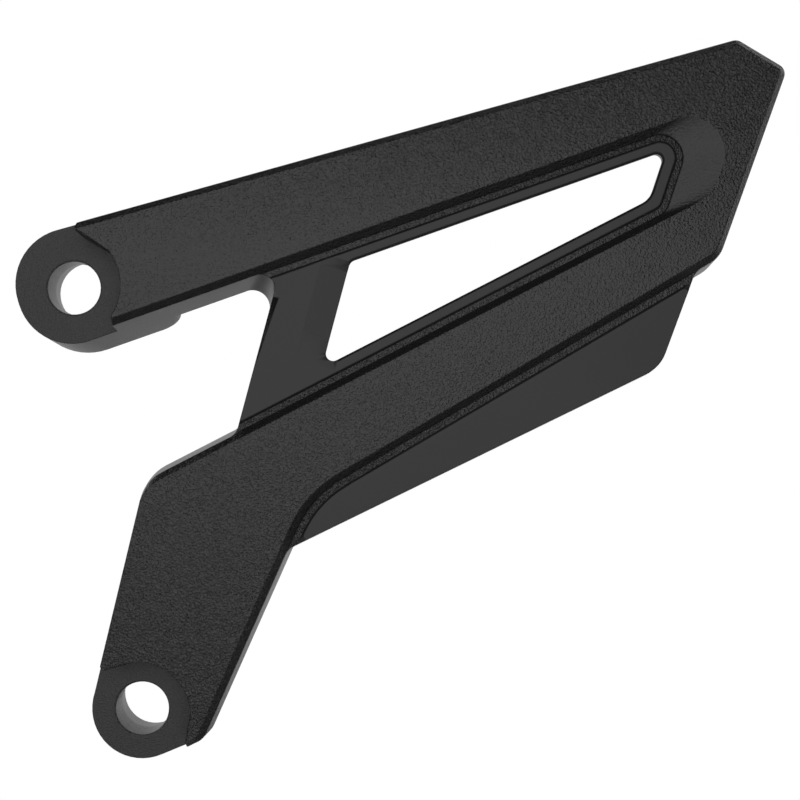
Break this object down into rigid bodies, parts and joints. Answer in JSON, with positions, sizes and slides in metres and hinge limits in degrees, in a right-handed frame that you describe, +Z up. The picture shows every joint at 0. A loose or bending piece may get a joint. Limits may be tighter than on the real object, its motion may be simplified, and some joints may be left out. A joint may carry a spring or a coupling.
{
  "type": "sprocket cover",
  "caption": "Moulded plastic cover for a motorcycle's front sprocket, with bolt bosses, raised grained arms, an open window, a strut and a smooth lower fin.",
  "frame": {"origin": "on the upper bolt's axis, on the seat under the bolt's head", "axes": "+X towards the nose of the arms, +Z up as bolted on, front face looking along -Y"},
  "size_m": [0.1757, 0.022, 0.1644],
  "materials": {
    "moulded_plastic": "black moulded plastic, fine leather grain on the raised faces and smooth satin elsewhere"
  },
  "bodies": {
    "root": {"sprocket_cover": "moulded_plastic"}
  },
  "joints": []
}
